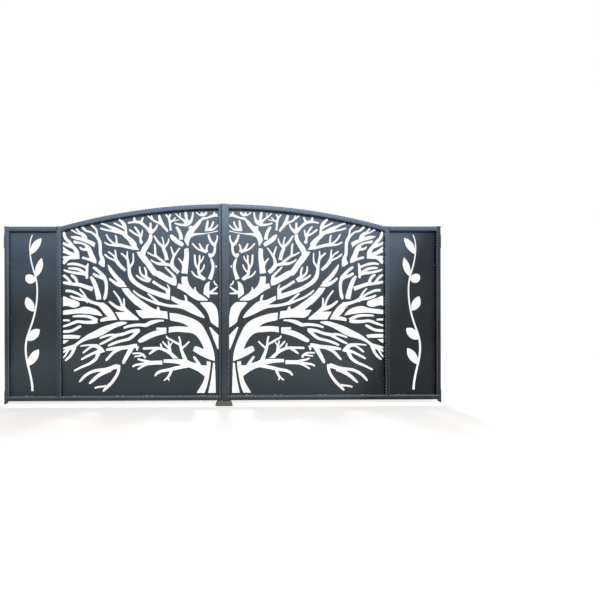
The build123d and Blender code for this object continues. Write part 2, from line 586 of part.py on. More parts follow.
    [(1112, 1455, 30), (1130, 1474, 26), (1150, 1491, 20), (1172, 1507, 18), (1195, 1516, 18),
     (1217, 1520, 19), (1234, 1533, 22), (1250, 1548, 22), (1264, 1561, 19)],
    # Top limb's fans
    [(346, 1440, 36), (350, 1475, 33), (361, 1510, 30), (374, 1535, 28), (386, 1551, 24)],
    [(328, 1388, 30), (352, 1404, 40), (385, 1425, 42), (415, 1450, 44), (437, 1474, 30)],
    [(120, 1530, 24), (85, 1530, 20), (50, 1536, 18), (25, 1555, 14), (4, 1577, 10)],
    [(90, 1535, 24), (70, 1555, 18), (57, 1580, 18), (50, 1603, 16)],
    [(122, 1520, 16), (112, 1545, 24), (106, 1580, 23), (101, 1612, 17)],
    [(265, 1600, 34), (253, 1620, 26), (244, 1645, 20), (239, 1668, 17), (238, 1688, 15)],
    [(296, 1612, 34), (297, 1634, 24), (300, 1655, 26), (303, 1675, 27), (305, 1688, 21)],
    [(300, 1600, 36), (316, 1614, 24), (338, 1631, 17), (357, 1645, 15), (376, 1661, 14),
     (396, 1679, 11)],
    [(355, 1645, 12), (355, 1662, 10), (358, 1682, 9)],
    [(295, 1580, 34), (325, 1577, 24), (360, 1580, 20), (385, 1586, 17), (402, 1592, 14)],
    [(443, 1526, 24), (446, 1550, 18), (449, 1580, 20), (452, 1610, 22), (457, 1630, 20),
     (462, 1648, 20)],
    [(460, 1645, 22), (452, 1660, 18), (446, 1668, 18)],
    [(462, 1643, 20), (474, 1657, 16), (485, 1668, 15)],
    [(450, 1608, 24), (430, 1613, 18), (415, 1625, 15), (401, 1642, 12)],
    [(435, 1610, 16), (410, 1616, 10), (385, 1621, 9), (368, 1626, 9)],
    [(472, 1514, 12), (485, 1537, 24), (508, 1563, 27), (525, 1590, 32), (536, 1615, 30),
     (544, 1640, 26), (550, 1660, 19)],
    [(522, 1588, 36), (560, 1600, 22), (590, 1612, 17), (615, 1630, 19), (628, 1640, 17),
     (640, 1650, 15), (652, 1657, 13)],
    [(608, 1625, 18), (616, 1643, 16), (621, 1658, 14)],
    [(628, 1517, 36), (608, 1522, 32), (592, 1534, 24), (578, 1552, 20), (568, 1575, 17)],
    [(630, 1514, 40), (630, 1535, 28), (629, 1560, 21), (630, 1590, 20)],
    [(632, 1520, 42), (655, 1541, 29), (678, 1563, 24), (707, 1589, 28), (725, 1600, 30),
     (750, 1604, 25), (775, 1604, 20), (800, 1602, 18), (832, 1596, 17)],
    [(718, 1600, 30), (710, 1621, 20), (700, 1640, 18)],
    [(770, 1605, 40), (776, 1622, 26), (779, 1638, 20)],
    [(704, 1410, 24), (716, 1418, 30), (720, 1432, 25), (723, 1457, 21), (722, 1475, 30)],
    [(718, 1470, 28), (710, 1493, 16), (706, 1515, 15), (706, 1527, 12)],
    [(722, 1480, 26), (735, 1502, 19), (750, 1526, 19), (763, 1545, 18), (775, 1558, 15)],
    [(722, 1475, 30), (745, 1482, 20), (764, 1490, 18), (790, 1507, 18), (808, 1520, 19),
     (822, 1531, 16)],
    # Upper right fan
    [(772, 1382, 44), (802, 1420, 50), (818, 1440, 42), (845, 1463, 38), (860, 1479, 40),
     (880, 1500, 40)],
    [(760, 1360, 26), (800, 1363, 24), (830, 1370, 27), (873, 1381, 28), (900, 1388, 29),
     (945, 1391, 29), (983, 1391, 20), (1011, 1394, 17), (1036, 1405, 15), (1052, 1415, 13)],
    [(945, 1392, 40), (943, 1416, 22), (944, 1440, 17), (946, 1462, 16), (952, 1477, 15)],
    [(958, 1398, 26), (975, 1409, 18), (997, 1430, 18), (1017, 1452, 16), (1028, 1471, 15),
     (1037, 1486, 13)],
    [(862, 1480, 40), (857, 1502, 28), (857, 1525, 22), (859, 1543, 24), (864, 1560, 28),
     (873, 1580, 30), (886, 1598, 28), (902, 1613, 22), (916, 1624, 17)],
    [(868, 1545, 26), (888, 1557, 20), (915, 1569, 17), (942, 1583, 16), (966, 1594, 13)],
    [(875, 1495, 40), (915, 1517, 36), (945, 1532, 36), (978, 1548, 30), (1006, 1559, 24),
     (1033, 1573, 19), (1061, 1584, 15), (1081, 1588, 12)],
    [(885, 1503, 40), (920, 1512, 34), (950, 1518, 32), (975, 1522, 26), (1006, 1525, 18),
     (1033, 1529, 17), (1060, 1536, 18), (1086, 1545, 16)],
]


def box_between(x, y, z):
    """Block between the lowest and highest place along each axis."""
    size = (x[1] - x[0], y[1] - y[0], z[1] - z[0])
    middle = (sum(x) / 2, sum(y) / 2, sum(z) / 2)
    return Pos(*middle) * Box(*size)


def upright_tube(x, z):
    """Hollow tube that stands between two heights and fills a span along the gate."""
    outer = box_between(x, (-half_tube, half_tube), z)
    inside = half_tube - tube_wall
    hollow = (x[0] + tube_wall, x[1] - tube_wall)
    return outer - box_between(hollow, (-inside, inside), z)


def level_tube(x, z_bottom):
    """Hollow square tube that lies between two places along the gate."""
    outer = box_between(x, (-half_tube, half_tube), (z_bottom, z_bottom + tube))
    inside = half_tube - tube_wall
    hollow = (z_bottom + tube_wall, z_bottom + tube - tube_wall)
    return outer - box_between(x, (-inside, inside), hollow)


def arch_height(x, depth=0.0):
    """Height of the arch rail's top edge at x, or of the arc that lies depth below it."""
    return arch_centre + sqrt((arch_radius - depth) ** 2 - x ** 2)


def arch_band(top_depth, bottom_depth, y):
    """Curved bar over the wide bay, between two arcs of the arch."""
    top = arch_arc(meeting_out, middle_in, top_depth)
    bottom = arch_arc(meeting_out, middle_in, bottom_depth)
    ends = [Line(top @ 0, bottom @ 0), Line(top @ 1, bottom @ 1)]
    return upright_extrusion(make_face([top, bottom] + ends), y)


def arch_arc(x_start, x_end, depth):
    """Arc of the arch, drawn flat with the height as its second coordinate."""
    x_middle = (x_start + x_end) / 2
    places = [(x, arch_height(x, depth)) for x in (x_start, x_middle, x_end)]
    return ThreePointArc(*places)


def upright_extrusion(face, y):
    """Solid between two places along Y from a face drawn flat as (x, height)."""
    plane = Plane.XZ.offset(-y[1])
    return extrude(plane * face, amount=y[1] - y[0])


def meeting_stile(meeting_in):
    top = arch_height(meeting_out)
    return upright_tube((meeting_in, meeting_out), (rail_top, top - cap_thickness))


def middle_stile():
    return upright_tube((middle_in, middle_out), (rail_top, shoulder_height - cap_thickness))


def hinge_stile():
    return upright_tube((hinge_in, half_width), (rail_top, shoulder_height - cap_thickness))


def bottom_rail(meeting_in):
    ends = (meeting_in + cap_thickness, half_width - cap_thickness)
    return level_tube(ends, ground_gap)


def shoulder_rail():
    return level_tube((middle_out, hinge_in), shoulder_underside)


def arch_rail():
    outer = arch_band(0, tube, (-half_tube, half_tube))
    inside = half_tube - tube_wall
    return outer - arch_band(tube_wall, tube - tube_wall, (-inside, inside))


def end_caps(meeting_in):
    """Plates that close the stiles' tops and the bottom rail's two ends."""
    caps = []
    tops = [
        ((meeting_in, meeting_out), arch_height(meeting_out)),
        ((middle_in, middle_out), shoulder_height),
        ((hinge_in, half_width), shoulder_height),
    ]
    for span, top in tops:
        caps.append(box_between(span, (-half_tube, half_tube), (top - cap_thickness, top)))
    for x in (meeting_in, half_width - cap_thickness):
        span = (x, x + cap_thickness)
        caps.append(box_between(span, (-half_tube, half_tube), (ground_gap, rail_top)))
    return Compound(children=caps)


def smooth_line(points):
    if len(points) == 2:
        return Line(*points)
    return Spline(*points)


def outline(sides):
    """Closed face with smooth sides, joined by straight lines."""
    edges = []
    end = sides[-1][-1]
    for side in sides:
        if end != side[0]:
            edges.append(Line(end, side[0]))
        edges.append(smooth_line(side))
        end = side[-1]
    return make_face(edges)


def stroke(places):
    """Left side, tip and right side of a smooth stroke of changing width."""
    left = []
    right = []
    last = len(places) - 1
    for index, (u, v, width) in enumerate(places):
        before = places[max(index - 1, 0)]
        after = places[min(index + 1, last)]
        run = Vector(after[0] - before[0], after[1] - before[1]).normalized() * (width / 2)
        left.append((u - run.Y, v + run.X))
        right.append((u + run.Y, v - run.X))
    tip = (u + run.X, v + run.Y)
    return left, [tip], right


def limb(places, drawing, size, x_start):
    """Stroke of a drawing on its sheet, square at its foot and round at its tip."""
    left, tip, right = (stretched(side, drawing, size, x_start) for side in stroke(places))
    edges = [
        smooth_line(left),
        ThreePointArc(left[-1], tip[0], right[-1]),
        smooth_line(right),
        Line(left[0], right[0]),
    ]
    return make_face(edges)


def leaf_shape(foot, side, point, other_side):
    """Pointed leaf between two arcs."""
    return make_face([ThreePointArc(foot, side, point), ThreePointArc(point, other_side, foot)])


def stretched(places, drawing, size, x_start):
    """Places of a drawing on a sheet of some size that starts at x."""
    across = size[0] / drawing[0]
    up = size[1] / drawing[1]
    return [(x_start + u * across, rail_top + v * up) for u, v in places]


def vine_sheet():
    drawing = (vine_drawing_width, vine_drawing_height)
    size = (side_bay_width, shoulder_underside - rail_top)
    field = Pos(middle_out + size[0] / 2, rail_top + size[1] / 2) * Rectangle(*size)
    vine = [limb(vine_stem, drawing, size, middle_out)]
    for leaf in vine_leaves:
        vine.append(leaf_shape(*stretched(leaf, drawing, size, middle_out)))
    return sheet_solid(field - vine)


def tree_sheet():
    drawing = (tree_drawing_width, tree_drawing_height)
    size = (middle_in - meeting_out, shoulder_underside - rail_top)
    tree = []
    for sides in tree_outlines:
        placed = [stretched(side, drawing, size, meeting_out) for side in sides]
        tree.append(outline(placed))
    for places in tree_limbs:
        tree.append(limb(places, drawing, size, meeting_out))
    holes = tree_field(sheet_rim) & (Sketch() + tree)
    return sheet_solid(tree_field(0) - holes)


def tree_field(rim):
    """Space inside the wide bay, less a rim on every side."""
    left = meeting_out + rim
    right = middle_in - rim
    foot = rail_top + rim
    top = arch_arc(left, right, tube + rim)
    sides = [
        Line(top @ 0, (left, foot)),
        Line((left, foot), (right, foot)),
        Line((right, foot), top @ 1),
    ]
    return make_face([top] + sides)


def sheet_solid(face):
    return upright_extrusion(face, (sheet_front, sheet_front + sheet_thickness))


def cover_strip():
    """Flat on the right leaf's meeting stile, over the gap between the leaves."""
    half = strip_width / 2
    span = (-half_tube - strip_thickness, -half_tube)
    return box_between((-half, half), span, (ground_gap, arch_height(0)))


def hinge_eye(eye_foot):
    """Ring welded to the back of the hinge stile by a short block."""
    z = (eye_foot, eye_foot + eye_height)
    middle = eye_foot + eye_height / 2
    ring = Pos(axis_x, axis_y, middle) * Cylinder(eye_diameter / 2, eye_height)
    block = box_between((axis_x - eye_block_length, axis_x), (half_tube, axis_y), z)
    bore = Pos(axis_x, axis_y, middle) * Cylinder(pin_diameter / 2 + pin_play, eye_height)
    return ring + block - bore


def hinge_plate(eye_foot):
    """Wall plate with two bolt holes and the arm that carries the eye."""
    arm_top = eye_foot - eye_rest_gap
    arm = (arm_top - arm_thickness, arm_top)
    middle = eye_foot + plate_rise
    inner_face = wall_face - plate_thickness
    plate_y = (axis_y - plate_width / 2, axis_y + plate_width / 2)
    plate_z = (middle - plate_height / 2, middle + plate_height / 2)
    plate = box_between((inner_face, wall_face), plate_y, plate_z)
    half_eye = eye_diameter / 2
    bar = box_between((axis_x, inner_face), (axis_y - half_eye, axis_y + half_eye), arm)
    nose = Pos(axis_x, axis_y, sum(arm) / 2) * Cylinder(half_eye, arm_thickness)
    solid = plate + bar + nose
    for side in (-1, 1):
        place = (inner_face + plate_thickness / 2, axis_y, middle + side * plate_hole_spacing / 2)
        hole = Cylinder(plate_hole_diameter / 2, plate_thickness)
        solid -= Pos(*place) * Rot(0, 90, 0) * hole
    return solid


def hinge_pin(eye_foot):
    foot = eye_foot - eye_rest_gap
    length = eye_rest_gap + eye_height + pin_standout
    return Pos(axis_x, axis_y, foot + length / 2) * Cylinder(pin_diameter / 2, length)


def floor_stop():
    """Block with sloping ends, flat on the ground under the meeting stiles."""
    top = stop_top_width / 2
    base = stop_base_width / 2
    corners = [(-base, 0), (base, 0), (top, stop_height), (-top, stop_height)]
    face = make_face(Polyline(*corners, close=True))
    return upright_extrusion(face, (-stop_depth / 2, stop_depth / 2))


def shared_pieces():
    """Pieces that are the same on both leaves, on the right side of the gate."""
    pieces = {
        "hinge_stile": hinge_stile(),
        "middle_stile": middle_stile(),
        "shoulder_rail": shoulder_rail(),
        "arch_rail": arch_rail(),
        "vine_sheet": vine_sheet(),
        "tree_sheet": tree_sheet(),
    }
    for level, eye_foot in (("lower", lower_eye_height), ("upper", upper_eye_height)):
        pieces[level + "_hinge_eye"] = hinge_eye(eye_foot)
        pieces[level + "_hinge_plate"] = hinge_plate(eye_foot)
        pieces[level + "_hinge_pin"] = hinge_pin(eye_foot)
    return pieces


def meeting_pieces(meeting_in):
    """Pieces that reach to the leaf's edge at the middle of the gate."""
    return {
        "meeting_stile": meeting_stile(meeting_in),
        "bottom_rail": bottom_rail(meeting_in),
        "end_caps": end_caps(meeting_in),
    }


def write_parts():
    parts = {"cover_strip": cover_strip(), "floor_stop": floor_stop()}
    shared = shared_pieces()
    for name, solid in {**shared, **meeting_pieces(right_meeting_in)}.items():
        parts["right_" + name] = solid
    for name, solid in {**shared, **meeting_pieces(left_meeting_in)}.items():
        parts["left_" + name] = mirror(solid, about=Plane.YZ)
    to_origin = Pos(-wall_face, -axis_y, -lower_plate_middle)
    os.makedirs("parts", exist_ok=True)
    for name, solid in parts.items():
        export_step(to_origin * solid, f"parts/{name}.step")


write_parts()
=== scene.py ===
import json
import math
import random

import bmesh
import bpy
from mathutils import Matrix, Vector

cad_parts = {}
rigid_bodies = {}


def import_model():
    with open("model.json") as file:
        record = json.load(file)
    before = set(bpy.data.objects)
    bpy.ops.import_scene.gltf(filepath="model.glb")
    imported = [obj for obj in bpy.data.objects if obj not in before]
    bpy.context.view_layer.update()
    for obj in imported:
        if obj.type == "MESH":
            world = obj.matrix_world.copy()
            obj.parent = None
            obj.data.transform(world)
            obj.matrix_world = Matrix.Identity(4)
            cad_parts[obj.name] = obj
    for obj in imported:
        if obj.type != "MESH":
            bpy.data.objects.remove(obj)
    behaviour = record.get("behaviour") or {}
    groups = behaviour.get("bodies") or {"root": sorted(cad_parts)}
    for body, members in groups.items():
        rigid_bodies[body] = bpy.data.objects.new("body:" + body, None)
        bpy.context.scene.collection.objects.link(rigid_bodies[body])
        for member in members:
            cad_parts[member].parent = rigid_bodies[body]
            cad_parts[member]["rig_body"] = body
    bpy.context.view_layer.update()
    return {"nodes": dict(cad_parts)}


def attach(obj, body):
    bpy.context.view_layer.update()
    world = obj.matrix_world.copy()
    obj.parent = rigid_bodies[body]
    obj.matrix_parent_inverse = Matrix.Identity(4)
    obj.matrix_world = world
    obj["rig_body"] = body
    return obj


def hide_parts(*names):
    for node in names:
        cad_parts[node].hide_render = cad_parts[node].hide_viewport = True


# Double-leaf driveway gate: hammered square tubes, laser-cut sheets, tack welds and paint.
# Sizes are in metres. Gate places are X from the middle of the gate, Y away from the street and
# Z up from the ground; to_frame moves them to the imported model's frame.

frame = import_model()
nodes = frame["nodes"]
sides = ("left", "right")

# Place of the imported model's origin, the wall side of the right lower hinge plate
wall_face = 2.025
axis_y = 0.042
lower_plate_middle = 0.0687
to_frame = Matrix.Translation((-wall_face, -axis_y, -lower_plate_middle))

# Gate sizes
half_width = 2.0
shoulder_height = 1.640
arch_rise = 0.205
ground_gap = 0.045
top_height = shoulder_height + arch_rise
tube = 0.040
narrow_stile = 0.020
side_bay_width = 0.433
cap_thickness = 0.002
strip_width = 0.037
strip_thickness = 0.012
sheet_front = 0.016
meeting_out = 0.046
right_meeting_in = meeting_out - tube
left_meeting_in = meeting_out - narrow_stile
rail_top = ground_gap + tube
hinge_in = half_width - tube
middle_out = hinge_in - side_bay_width
middle_in = middle_out - tube
arch_radius = (arch_rise ** 2 + middle_in ** 2) / (2 * arch_rise)
arch_centre = top_height - arch_radius
strip_top = arch_centre + arch_radius

# Rubber lip: how far it reaches left and right of the gate's middle, and its other sizes
lip_out = 0.0259
lip_in = 0.0055
lip_thickness = 0.012
lip_shortening = 0.006
lip_edge = 0.0008

# Painted shade: darker colour past a slanting line near the right end, under the shoulder rail,
# where shade falls on the gate
shade_start = 1.42
shade_width = 0.22
shade_slope = 0.35
shade_most = 0.93
painted_shade_colour = (0.003, 0.004, 0.006, 1.0)
rail_fade = 0.004
stile_fade = 0.001

# Hammered edges: rows of dents along every corner of a tube
dent_pitch = 0.027
rings_per_dent = 6
dent_depth = 0.0068
dent_share = 0.60
dent_stagger = 0.25
weakest_blow = 0.8
hardest_blow = 1.1
edge_flat = 0.0095
edge_limit = 0.40
edge_fullness = 0.85
slant = 0.7071
arch_overrun_inner = 0.004
arch_overrun_outer = 0.018

# Meshes: edges that bend more than sharp_angle, in radians, stay crisp, and with no_sharp none
merge_distance = 0.00002
cut_distance = 0.00001
flat_angle = 0.02
sharp_angle = 0.6
no_sharp = 3.2

# Rounding of the edges of the pieces that are taken from the solids
hinge_edges = {"hinge_eye": 0.0015, "hinge_plate": 0.0012, "hinge_pin": 0.0015}
cap_edge = 0.0009
stop_edge = 0.004

# Tack welds: places along the rails, places and heights along the stiles, shares of the arch
tack_size = (0.011, 0.0045, 0.0045)
tack_roughness = 0.08
tack_step = 0.05
tack_drop = 0.06
tack_depth_step = 0.003
# How pale the tack welds are painted at the foot and elsewhere: painted highlights on the welds
foot_highlight = 1.0
other_highlight = 0.42
foot_tacks = {
    "left": (-1.819, -1.383, -0.984, -0.715),
    "right": (0.212, 0.475, 0.892, 1.284, 1.624),
}
stile_tacks = {
    "left": ((-middle_out, 0.37), (-middle_out, 0.95), (-middle_in, 0.40), (-middle_in, 0.98),
             (-hinge_in, 0.33), (-hinge_in, 0.80), (-hinge_in, 1.30), (-meeting_out, 0.45),
             (-meeting_out, 1.05), (-meeting_out, 1.55)),
    "right": ((hinge_in, 0.270), (hinge_in, 0.730), (hinge_in, 1.285), (middle_in, 0.235),
              (middle_in, 0.80), (middle_in, 1.32), (middle_out, 0.45), (middle_out, 1.00),
              (meeting_out, 0.40), (meeting_out, 0.95), (meeting_out, 1.50)),
}
arch_tacks = (0.12, 0.34, 0.56, 0.78, 0.94)

# Colours of the paint at heights above the ground, paler and bluer towards the top as painted sky
# light and darker low down as painted shade, and of the dust on it; the frame's dust colour also
# paints the highlights in the hammered dents and on the tack welds
frame_colours_with_painted_light = [
    (0.00, (0.022, 0.027, 0.031)), (0.25, (0.034, 0.040, 0.045)), (0.60, (0.025, 0.030, 0.036)),
    (1.05, (0.044, 0.055, 0.067)), (1.50, (0.072, 0.099, 0.131)), (1.84, (0.100, 0.160, 0.232)),
]
sheet_colours_with_painted_light = [
    (0.00, (0.020, 0.026, 0.029)), (0.40, (0.036, 0.046, 0.052)), (0.80, (0.020, 0.026, 0.031)),
    (1.30, (0.043, 0.061, 0.083)), (1.60, (0.070, 0.101, 0.138)),
]
hinge_colours_with_painted_light = [(0.0, (0.010, 0.010, 0.012)), (1.6, (0.014, 0.014, 0.017))]
frame_dust_and_highlight = (0.36, 0.41, 0.45, 1.0)
sheet_dust = (0.16, 0.18, 0.19, 1.0)
hinge_dust = (0.07, 0.07, 0.07, 1.0)
block_brown = (0.115, 0.098, 0.083, 1.0)
block_pale = (0.18, 0.158, 0.138, 1.0)
block_dirt = (0.05, 0.045, 0.04, 1.0)
gap_shade_black = (0.008, 0.008, 0.009, 1.0)
rubber_grey = (0.014, 0.014, 0.015, 1.0)
floor_colour = (0.70, 0.67, 0.64, 1.0)
floor_bounce = (0.14, 0.14, 0.14, 1.0)
sky_low = (0.05, 0.05, 0.05, 1.0)
sky_high = (0.70, 0.72, 0.75, 1.0)
black = (0.0, 0.0, 0.0, 1.0)
white = (1.0, 1.0, 1.0, 1.0)

# Floor: how much its near part is squashed across the gate, and where it turns white
floor_reach = 40.0
floor_squash = 0.45
floor_near = 1.0
floor_far = 4.5
floor_glow = 0.30

# Camera, on the street side
image_width = 600.0
metres_per_pixel = 0.00915
sensor_width = 36.0
camera_across = -0.010
camera_distance = 3.0
camera_height = 0.904
camera_turn = 0.0083
camera_roll = 0.0024
camera_shift_x = 0.1243
camera_shift_y = 0.0112
camera_reach = 200.0

dice = random.Random(7)


def arch_height(x):
    return arch_centre + math.sqrt(arch_radius ** 2 - x ** 2)


def mesh_object(bm, name, material):
    """Object in the scene from a finished bmesh, which is moved to the model's frame."""
    bm.transform(to_frame)
    mesh = bpy.data.meshes.new(name)
    bm.to_mesh(mesh)
    bm.free()
    made = bpy.data.objects.new(name, mesh)
    bpy.context.scene.collection.objects.link(made)
    made.data.materials.append(material)
    return made


def finish_piece(bm, name, body, material, node=None, sharp=sharp_angle):
    """Put a finished mesh in the scene, on its body and with its finish."""
    bmesh.ops.remove_doubles(bm, verts=bm.verts[:], dist=merge_distance)
    bmesh.ops.recalc_face_normals(bm, faces=bm.faces[:])
    for face in bm.faces:
        face.smooth = True
    for edge in bm.edges:
        if len(edge.link_faces) == 2 and edge.calc_face_angle(0.0) > sharp:
            edge.smooth = False
    piece = mesh_object(bm, name, material)
    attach(piece, body)
    if node:
        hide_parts(node)


# Paint and other finishes

def new_material(name):
    material = bpy.data.materials.new(name)
    material.use_nodes = True
    tree = material.node_tree
    shader = tree.nodes["Principled BSDF"]
    return material, tree, shader


def feed(tree, socket, value):
    """Give a socket another node's output, or a number or colour of its own."""
    if isinstance(value, bpy.types.NodeSocket):
        tree.links.new(value, socket)
    else:
        socket.default_value = value


def reckoned(tree, operation, *values):
    """Result of a sum; each value is a number or another node's output."""
    node = tree.nodes.new("ShaderNodeMath")
    node.operation = operation
    for socket, value in zip(node.inputs, values):
        feed(tree, socket, value)
    return node.outputs[0]


def object_place(tree):
    return tree.nodes.new("ShaderNodeTexCoord").outputs["Object"]


def axes_of(tree, vector):
    """The X, Y and Z of a vector, by name."""
    split = tree.nodes.new("ShaderNodeSeparateXYZ")
    tree.links.new(vector, split.inputs[0])
    return split.outputs


def noise(tree, place, scale, detail):
    node = tree.nodes.new("ShaderNodeTexNoise")
    node.inputs["Scale"].default_value = scale
    node.inputs["Detail"].default_value = detail
    tree.links.new(place, node.inputs["Vector"])
    return node.outputs["Fac"]


def remap(tree, value, low, high, out_low=0.0, out_high=1.0):
    node = tree.nodes.new("ShaderNodeMapRange")
    node.inputs["From Min"].default_value = low
    node.inputs["From Max"].default_value = high
    node.inputs["To Min"].default_value = out_low
    node.inputs["To Max"].default_value = out_high
    tree.links.new(value, node.inputs["Value"])
    return node.outputs["Result"]


def patches(tree, place, scale, detail, low, high, most=1.0):
    """Cloudy pattern: nothing where the noise is under low, and most where it is over high."""
    return remap(tree, noise(tree, place, scale, detail), low, high, out_high=most)


def mixed(tree, share, first, second):
    """Mix of two colours; each is a colour or another node's output."""
    node = tree.nodes.new("ShaderNodeMix")
    node.data_type = "RGBA"
    feed(tree, node.inputs[0], share)
    feed(tree, node.inputs[6], first)
    feed(tree, node.inputs[7], second)
    return node.outputs[2]


def fine_bumps(tree, shader, place, scale, detail, strength, distance):
    bump = tree.nodes.new("ShaderNodeBump")
    bump.inputs["Strength"].default_value = strength
    bump.inputs["Distance"].default_value = distance
    tree.links.new(noise(tree, place, scale, detail), bump.inputs["Height"])
    tree.links.new(bump.outputs["Normal"], shader.inputs["Normal"])


def painted_light_by_height(tree, axes, colours):
    """Colour that changes with the height above the ground, paler towards the top as painted sky
    light; colours holds (height, colour).
    """
    share = remap(tree, axes["Z"], -lower_plate_middle, top_height - lower_plate_middle)
    ramp = tree.nodes.new("ShaderNodeValToRGB")
    ramp.color_ramp.interpolation = "EASE"
    stops = ramp.color_ramp.elements
    while len(stops) < len(colours):
        stops.new(0.5)
    for stop, (height, colour) in zip(stops, colours):
        stop.position = height / top_height
        stop.color = (*colour, 1.0)
    tree.links.new(share, ramp.inputs["Fac"])
    return ramp.outputs["Color"]


def painted_end_shade(tree, axes):
    """Share of painted shade: none up to a slanting line near the right end, and most past it."""
    slanted = reckoned(tree, "MULTIPLY_ADD", axes["Z"], -shade_slope, axes["X"])
    start = shade_start - wall_face - shade_slope * (shoulder_height / 2 - lower_plate_middle)
    share = remap(tree, slanted, start, start + shade_width, out_high=shade_most)
    rail_foot = shoulder_height - tube - lower_plate_middle
    below = remap(tree, axes["Z"], rail_foot - rail_fade, rail_foot, 1.0, 0.0)
    stile_edge = hinge_in - wall_face
    stile = remap(tree, axes["X"], stile_edge - stile_fade, stile_edge)
    allowed = reckoned(tree, "MAXIMUM", below, stile)
    return reckoned(tree, "MULTIPLY", share, allowed)


def painted_steel(name, colours, dust_and_highlight_colour, rough):
    """Satin powder coat: paler towards the top as painted sky light, darker near the right end as
    painted shade, paler in hammered dents as painted highlights, with dust patches and specks,
    and paler on faces that look up.
    """
    material, tree, shader = new_material(name)
    place = object_place(tree)
    axes = axes_of(tree, place)
    facing = axes_of(tree, tree.nodes.new("ShaderNodeNewGeometry").outputs["Normal"])
    dent_highlights = tree.nodes.new("ShaderNodeAttribute")
    dent_highlights.attribute_name = "dent"
    # Shares of the paler colour: painted highlights in the hammered dents and on the tack welds,
    # dust patches, dust specks, and a paler tone on faces that look up
    dust_and_highlight_shares = (
        remap(tree, dent_highlights.outputs["Fac"], low=0.30, high=0.70, out_high=0.85),
        patches(tree, place, scale=2.3, detail=3.0, low=0.3, high=0.7, most=0.06),
        patches(tree, place, scale=160.0, detail=2.0, low=0.62, high=0.72, most=0.10),
        remap(tree, facing["Z"], low=0.55, high=1.0, out_high=0.30),
    )
    # Painted sky light, paler towards the top, then painted shade past the slanting line near the
    # right end
    colour = mixed(tree, painted_end_shade(tree, axes), painted_light_by_height(tree, axes, colours), painted_shade_colour)
    for share in dust_and_highlight_shares:
        colour = mixed(tree, share, colour, dust_and_highlight_colour)
    tree.links.new(colour, shader.inputs["Base Color"])
    wear = noise(tree, place, scale=7.0, detail=4.0)
    roughness = remap(tree, wear, 0.3, 0.7, out_low=rough - 0.05, out_high=rough + 0.07)
    tree.links.new(roughness, shader.inputs["Roughness"])
    fine_bumps(tree, shader, place, scale=420.0, detail=2.0, strength=0.10, distance=0.0006)
    shader.inputs["Specular IOR Level"].default_value = 0.20
    return material


def dusty_block(name, colour, tack_highlight, dirt):
    """Rough grey-brown block with sandy grain and darker patches."""
    material, tree, shader = new_material(name)
    place = object_place(tree)
    grain = patches(tree, place, scale=90.0, detail=6.0, low=0.35, high=0.7)
    patch = patches(tree, place, scale=12.0, detail=3.0, low=0.35, high=0.65, most=0.6)
    sandy = mixed(tree, grain, colour, tack_highlight)
    dark = mixed(tree, 0.35, colour, dirt)
    tree.links.new(mixed(tree, patch, sandy, dark), shader.inputs["Base Color"])
    shader.inputs["Roughness"].default_value = 0.85
    fine_bumps(tree, shader, place, scale=140.0, detail=5.0, strength=0.5, distance=0.0015)
    return material


def black_rubber(name, colour, tack_highlight):
    """Dull black rubber with a faint grain."""
    material, tree, shader = new_material(name)
    grain = patches(tree, object_place(tree), scale=60.0, detail=3.0, low=0.3, high=0.7)
    tree.links.new(mixed(tree, grain, colour, tack_highlight), shader.inputs["Base Color"])
    shader.inputs["Roughness"].default_value = 0.75
    shader.inputs["Specular IOR Level"].default_value = 0.3
    return material


# Black rubber of the gap lip, whose black stands in for the shadow between the leaves
rubber = black_rubber("rubber", gap_shade_black, rubber_grey)
frame_paint = painted_steel("frame_paint", frame_colours_with_painted_light, frame_dust_and_highlight, rough=0.42)
sheet_paint = painted_steel("sheet_paint", sheet_colours_with_painted_light, sheet_dust, rough=0.47)
hinge_black = painted_steel("hinge_black", hinge_colours_with_painted_light, hinge_dust, rough=0.45)
stop_stone = dusty_block("floor_stop", block_brown, block_pale, block_dirt)


# Hammered bars

def corner_size(across, deep):
    """How far a dent reaches from a bar's corner, over both of its sides."""
    return min(edge_flat, edge_limit * min(across, deep))


def bar_profile(bm, across, deep):
    """Rectangle of edges, flat at height 0, with three places at each corner."""
    grid = bmesh.ops.create_grid(bm, x_segments=1, y_segments=1, size=0.5)
    bmesh.ops.scale(bm, vec=(across, deep, 1.0), verts=grid["verts"])
    bmesh.ops.bevel(
        bm, geom=bm.verts[:], offset=corner_size(across, deep), offset_type="OFFSET",
        affect="VERTICES", segments=2, profile=edge_fullness, material=-1,
    )
    bmesh.ops.delete(bm, geom=bm.faces[:], context="FACES_ONLY")


def sweep(bm, steps, axis, angle, rise):
    """Carry the profile round an axis by an angle, and up by rise at each step."""
    bmesh.ops.spin(
        bm, geom=bm.verts[:] + bm.edges[:], cent=(0, 0, 0), axis=axis,
        dvec=(0, 0, rise), angle=angle, steps=steps,
        use_merge=False, use_normal_flip=False, use_duplicate=False,
    )


def close_ends(bm):
    bmesh.ops.holes_fill(bm, edges=[e for e in bm.edges if e.is_boundary], sides=0)


